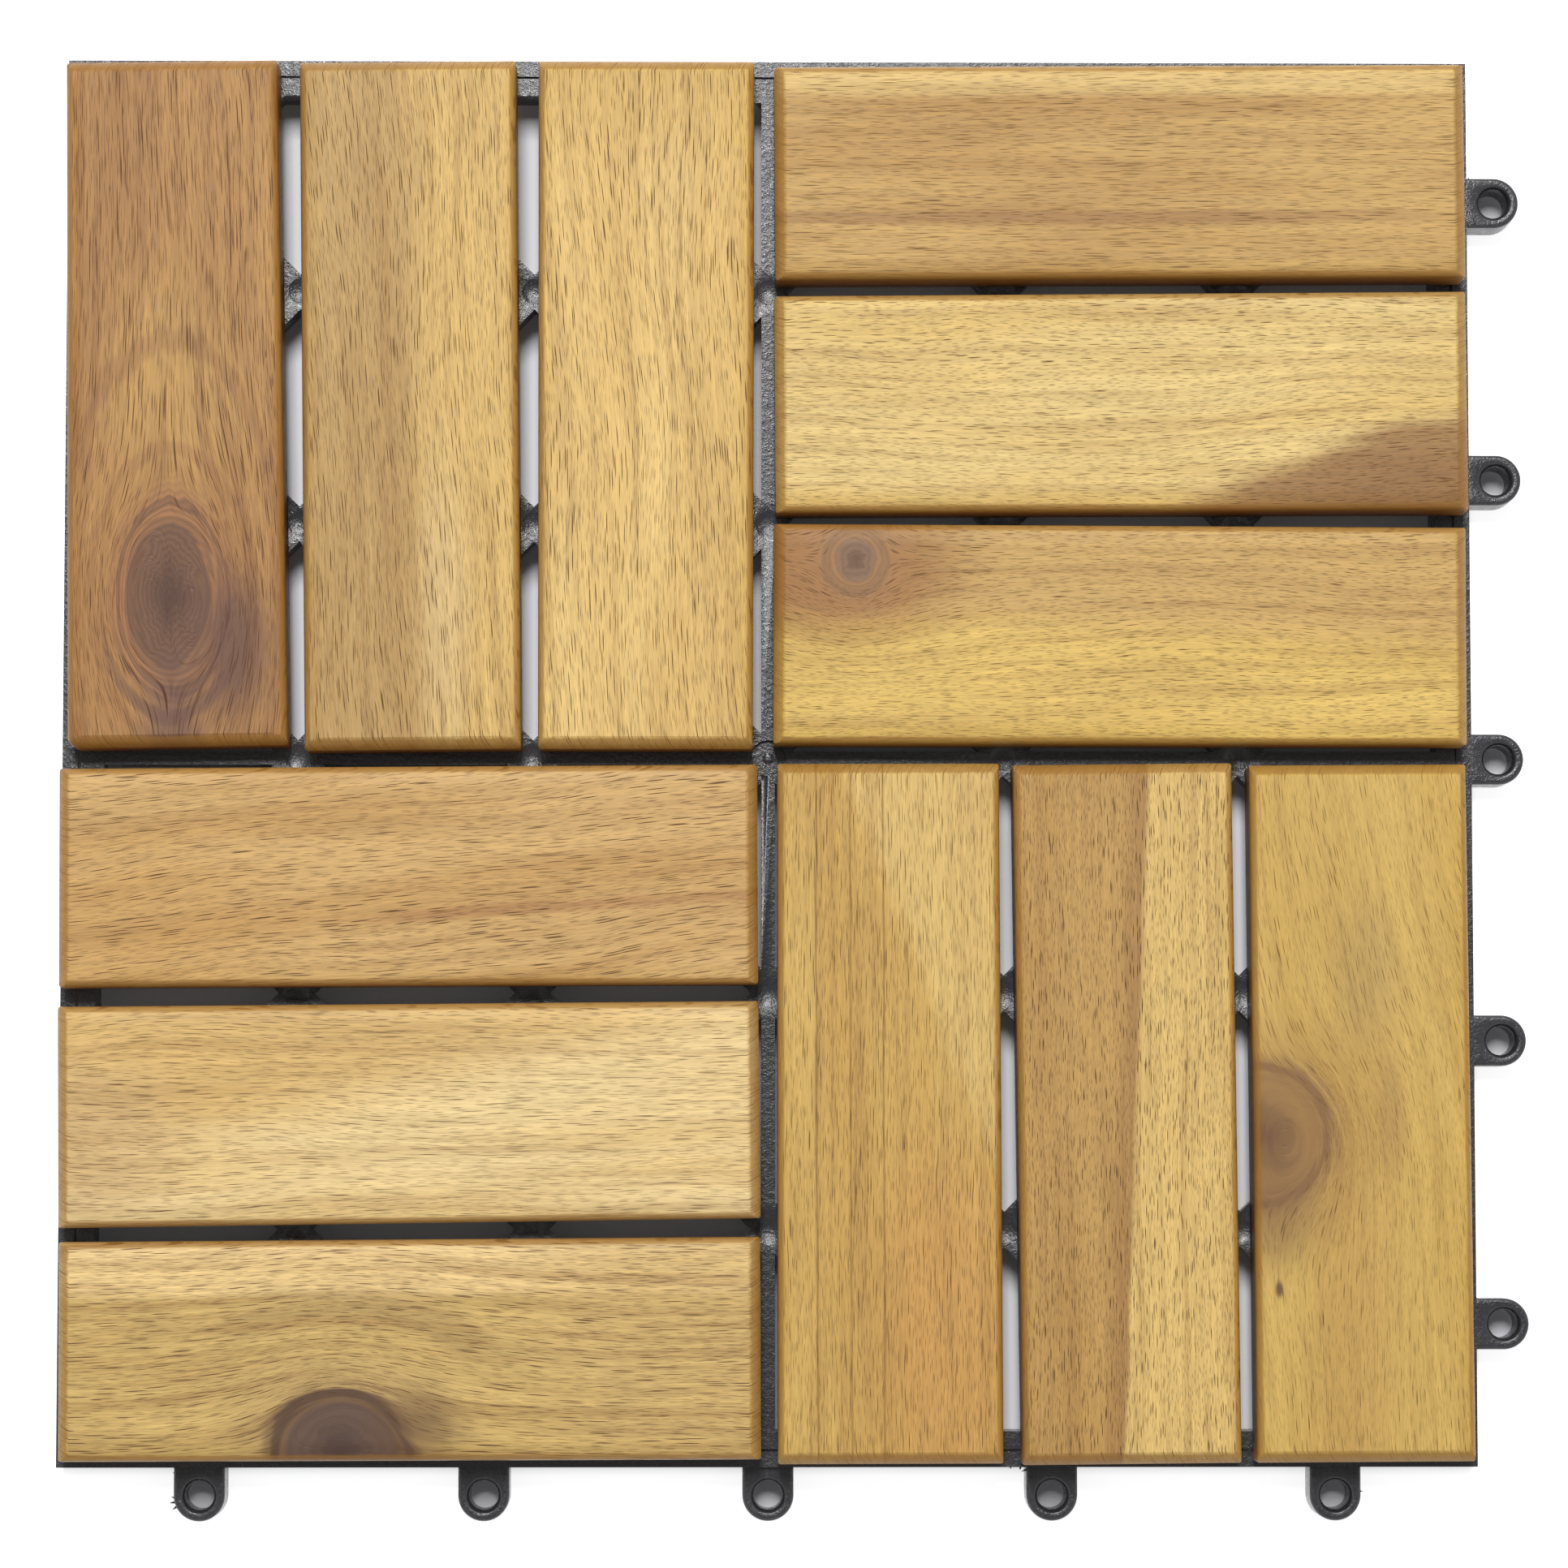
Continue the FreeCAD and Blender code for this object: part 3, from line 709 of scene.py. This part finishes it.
# the middle of each block of three, and 1 where its boards lie crosswise
block_places = {
    "back_left": (-75, 75, 0), "back_right": (75, 75, 1),
    "front_left": (-75, -75, 1), "front_right": (75, -75, 0),
}
plain_corners = {(-1, -1): 0.5, (1, -1): 0.5, (1, 1): 0.5, (-1, 1): 0.5}
for slat_name, look in slats.items():
    look = {**plain_look, **look}
    block, row = slat_name.rsplit("_", 1)
    block_x, block_y, quarter = block_places[block]
    step = slat_pitch * (int(row) - 2)
    shift_x, shift_y, turn, back_swell, front_swell, longer = look["offsets"]
    middle_x = block_x + (0 if quarter else step) + shift_x
    middle_y = block_y - (step if quarter else 0) + shift_y
    sizes = slat_width + back_swell, slat_width + front_swell, slat_length + longer
    points, faces, edge = slat_surface(*sizes, {**plain_corners, **look["corners"]})
    angle = math.radians(turn + 90 * quarter)
    cosine, sine = math.cos(angle), math.sin(angle)
    rotated = points[:, :2] @ np.array([[cosine, sine], [-sine, cosine]])
    placed = np.column_stack([rotated + (middle_x, middle_y), points[:, 2] + base_height])
    mesh = bpy.data.meshes.new("board_" + slat_name)
    mesh.from_pydata((placed * MM).tolist(), [], faces)
    mesh.attributes.new("edge", "FLOAT", "POINT").data.foreach_set("value", edge.astype(np.float32))
    merged = bmesh.new()
    merged.from_mesh(mesh)
    bmesh.ops.remove_doubles(merged, verts=merged.verts, dist=same_point)
    bmesh.ops.recalc_face_normals(merged, faces=merged.faces)
    merged.to_mesh(mesh)
    merged.free()
    mesh.shade_smooth()
    mesh.set_sharp_from_angle(angle=math.radians(28))
    centre = (middle_x * MM, middle_y * MM, 0)
    mesh.materials.append(acacia("acacia_" + slat_name, centre, angle - math.pi / 2, look))
    board = piece_of("board_" + slat_name, mesh)
    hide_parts("slat_" + slat_name)
    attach(board, "root")

# Screws: short pan-head wood screws of plated steel, driven up through the bosses into the slats.
# Each has a low round head with a cross recess and a rolled thread that ends in a point.


def screw_surface():
    """Turned head and shank whose radius follows a saw-toothed thread. The cross recess lowers the head's
    face by a depth that fades with the distance from the two arms' centre lines."""
    sides, face_rings = 48, 14
    head_radius, face_reach, face_edge, face_dish = 3.2, 2.6, 1.28, 0.08
    edge_start, edge_round, head_low = 2.3, 0.9, 1.2
    shank_end, point_end, point_length = 20.0, 20.2, 2.6
    core_radius, thread_depth, thread_pitch = 1.2, 0.38, 1.4
    arm_half, arm_length, recess_depth = 0.36, 1.75, 1.1
    angle = 2 * math.pi * np.arange(sides) / sides
    face_radius = np.linspace(0, face_reach, face_rings)
    face_height = face_edge - face_dish * np.cos(face_radius / face_reach * math.pi / 2)
    round_off = np.radians(np.linspace(15, 90, 6))
    edge_radius = edge_start + edge_round * np.sin(round_off)
    edge_height = head_low + edge_round * (1 - np.cos(round_off))
    shank_height = np.linspace(screw_seat, shank_end, 85)
    tip = np.clip((point_end - shank_height) / point_length, 0.02, 1)
    radius = np.concatenate([face_radius, edge_radius, [head_radius], np.ones(shank_height.size)])
    height = np.concatenate([face_height, edge_height, [screw_seat], shank_height])
    grid_r = np.repeat(radius[:, None], sides, 1)
    grid_z = np.repeat(height[:, None], sides, 1)
    x, y = grid_r * np.cos(angle), grid_r * np.sin(angle)
    arm = np.minimum(np.abs(x), np.abs(y)) / arm_half
    length = np.maximum(np.abs(x), np.abs(y)) / arm_length
    recess = np.clip(1.6 - arm, 0, 1) * np.clip(4.0 - 4.0 * length, 0, 1) * recess_depth
    grid_z[:face_rings] += recess[:face_rings]
    turns = (shank_height[:, None] / thread_pitch + angle / (2 * math.pi)) % 1
    crest = np.where(turns < 0.5, turns * 2, 2 - turns * 2) ** 2
    grid_r[-shank_height.size :] = (core_radius + thread_depth * crest) * tip[:, None]
    points = np.stack([grid_r * np.cos(angle), grid_r * np.sin(angle), grid_z], -1).reshape(-1, 3)
    faces = quads(radius.size, sides, round_columns=True).tolist()
    faces.append(list(range((radius.size - 1) * sides, radius.size * sides)))
    return points, faces


screw_points, screw_faces = screw_surface()
screw_surfaces = [(screw_points + (x, y, 0), screw_faces) for x, y in screw_places]
screw_mesh = mesh_of("screws", *screw_surfaces)
screw_mesh.shade_smooth()
screw_mesh.set_sharp_from_angle(angle=math.radians(40))
steel, shader, place = finish("zinc_plated_steel")
shader.inputs["Metallic"].default_value = 1.0
patches = place.noise(700.0, 3.0)
rust = place.noise(1500.0, 4.0, 0.7).rise(0.66, 0.8)
colour = patches.between(tone(150, 148, 142), tone(188, 186, 178))
feed(shader, "Base Color", colour.tinted(tone(120, 96, 70), rust * 0.4))
feed(shader, "Roughness", 0.28 + patches * 0.2 + rust * 0.3)
relief(shader, place.noise(4000.0, 2.0), 0.2, 0.00005)
screw_mesh.materials.append(steel)
screws = piece_of("screws", screw_mesh)
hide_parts("slat_screws")
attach(screws, "root")

# Floor: a plain white sheet under the tile. It takes the tile's shadow and looks white to the camera by a
# glow, which stops under the tile and where the floor shows through the loops' holes: painted shade there. It
# is clear from beneath, so that the underside of the tile can be seen.

floor_half, floor_level = 3.0, -0.00005
corners = [(x * floor_half, y * floor_half, floor_level) for x, y in ((-1, -1), (1, -1), (1, 1), (-1, 1))]
floor_mesh = bpy.data.meshes.new("floor")
floor_mesh.from_pydata(corners, [], [(0, 1, 2, 3)])
floor_finish, shader, place = finish("white_sheet")
shader.inputs["Base Color"].default_value = (0.9, 0.9, 0.94, 1)
shader.inputs["Roughness"].default_value = 0.9
shader.inputs["Specular IOR Level"].default_value = 0.0
seen = place.ray("Is Camera Ray").most(place.ray("Is Glossy Ray")).most(place.ray("Is Transmission Ray"))
east, north = place.parts()[:2]
shade_end, glow_start = 0.1465, 0.153
# the floor's glow fades out under the tile, a painted shade in its gaps
clear_of_tile_shade = east.positive().most(north.positive()).rise(shade_end, glow_start)
hole_line, last_loop = (loop_centre - 0.3) * MM, 0.135
hole_shade, hole_glow = 3.4 * MM, 4.6 * MM
full_glow, least_glow = 0.8, 0.012


def clear_of_hole_shade(away, along_rim):
    """1 on the floor, and 0 where it shows through the holes of one side's loops, which lie in even steps:
    the floor's glow is taken away there as a painted shade.
    """
    beyond = (along_rim.positive() - last_loop).most(0.0)
    aside = along_rim.maths("PINGPONG", along_rim, link_pitch / 2 * MM) + beyond
    from_hole = (away - hole_line).squared() + aside.squared()
    return from_hole.rise(hole_shade**2, hole_glow**2)


# full glow outside the tile and the loops' holes, and only a little under them, as painted shade
glow_with_painted_shade = clear_of_tile_shade * clear_of_hole_shade(east, north) * clear_of_hole_shade(0.0 - north, east) * full_glow + least_glow
feed(shader, "Emission Color", seen * glow_with_painted_shade)
shader.inputs["Emission Strength"].default_value = 1.0
floor_finish.cycles.emission_sampling = "NONE"
beneath = place.node("NewGeometry", (), (), "Backfacing").most(place.ray("Transparent Depth"))
layers = {0: beneath, 1: Sum(shader.outputs[0]), 2: place.node("BsdfTransparent")}
sheet = place.node("MixShader", (), layers)
tree = floor_finish.node_tree
tree.links.new(sheet.socket, tree.nodes["Material Output"].inputs["Surface"])
floor_mesh.materials.append(floor_finish)
floor = piece_of("floor", floor_mesh)

# Light: one large soft lamp high behind the tile, and an even pale surround, as in a plain studio. The
# surround is full white where it is seen, dimmer overhead in reflections, and gives less light than it shows.

lamp = bpy.data.lights.new("soft_lamp", "AREA")
lamp.shape, lamp.size, lamp.size_y, lamp.energy = "RECTANGLE", 0.5, 1.15, 67.5
lamp_object = bpy.data.objects.new("soft_lamp", lamp)
lamp_place = Vector((-0.1, 1.23, 2.75))
lamp_object.location = lamp_place
lamp_object.rotation_euler = (-lamp_place).to_track_quat("-Z", "Y").to_euler()
bpy.context.scene.collection.objects.link(lamp_object)
world = bpy.data.worlds.new("surround")
world.use_nodes = True
bpy.context.scene.world = world
background = world.node_tree.nodes["Background"]
path = Sum(world.node_tree.nodes.new("ShaderNodeLightPath").outputs["Is Camera Ray"])
overhead = path.node("TexCoord", (), (), "Generated").parts()[2].rise(0.8, 0.98)
seen = path.most(path.ray("Is Glossy Ray") * (1.0 - overhead)).most(path.ray("Is Transmission Ray"))
world.node_tree.links.new((seen * 0.7 + 0.3).socket, background.inputs["Strength"])
background.inputs["Color"].default_value = (1, 1, 1, 1)

# Camera: a long lens more than a metre above the tile, which looks almost straight down from just in
# front of the tile's middle.

camera = bpy.data.cameras.new("camera")
camera.lens, camera.sensor_width = 124.2, 36.0
camera.clip_start, camera.clip_end = 0.05, 20.0
camera_object = bpy.data.objects.new("camera", camera)
camera_object.location = (-0.0108, -0.0868, 1.1604)
camera_object.rotation_euler = (math.radians(4.049), math.radians(-0.707), math.radians(-0.003))
bpy.context.scene.collection.objects.link(camera_object)
bpy.context.scene.camera = camera_object

bpy.context.scene.view_settings.view_transform = "Standard"
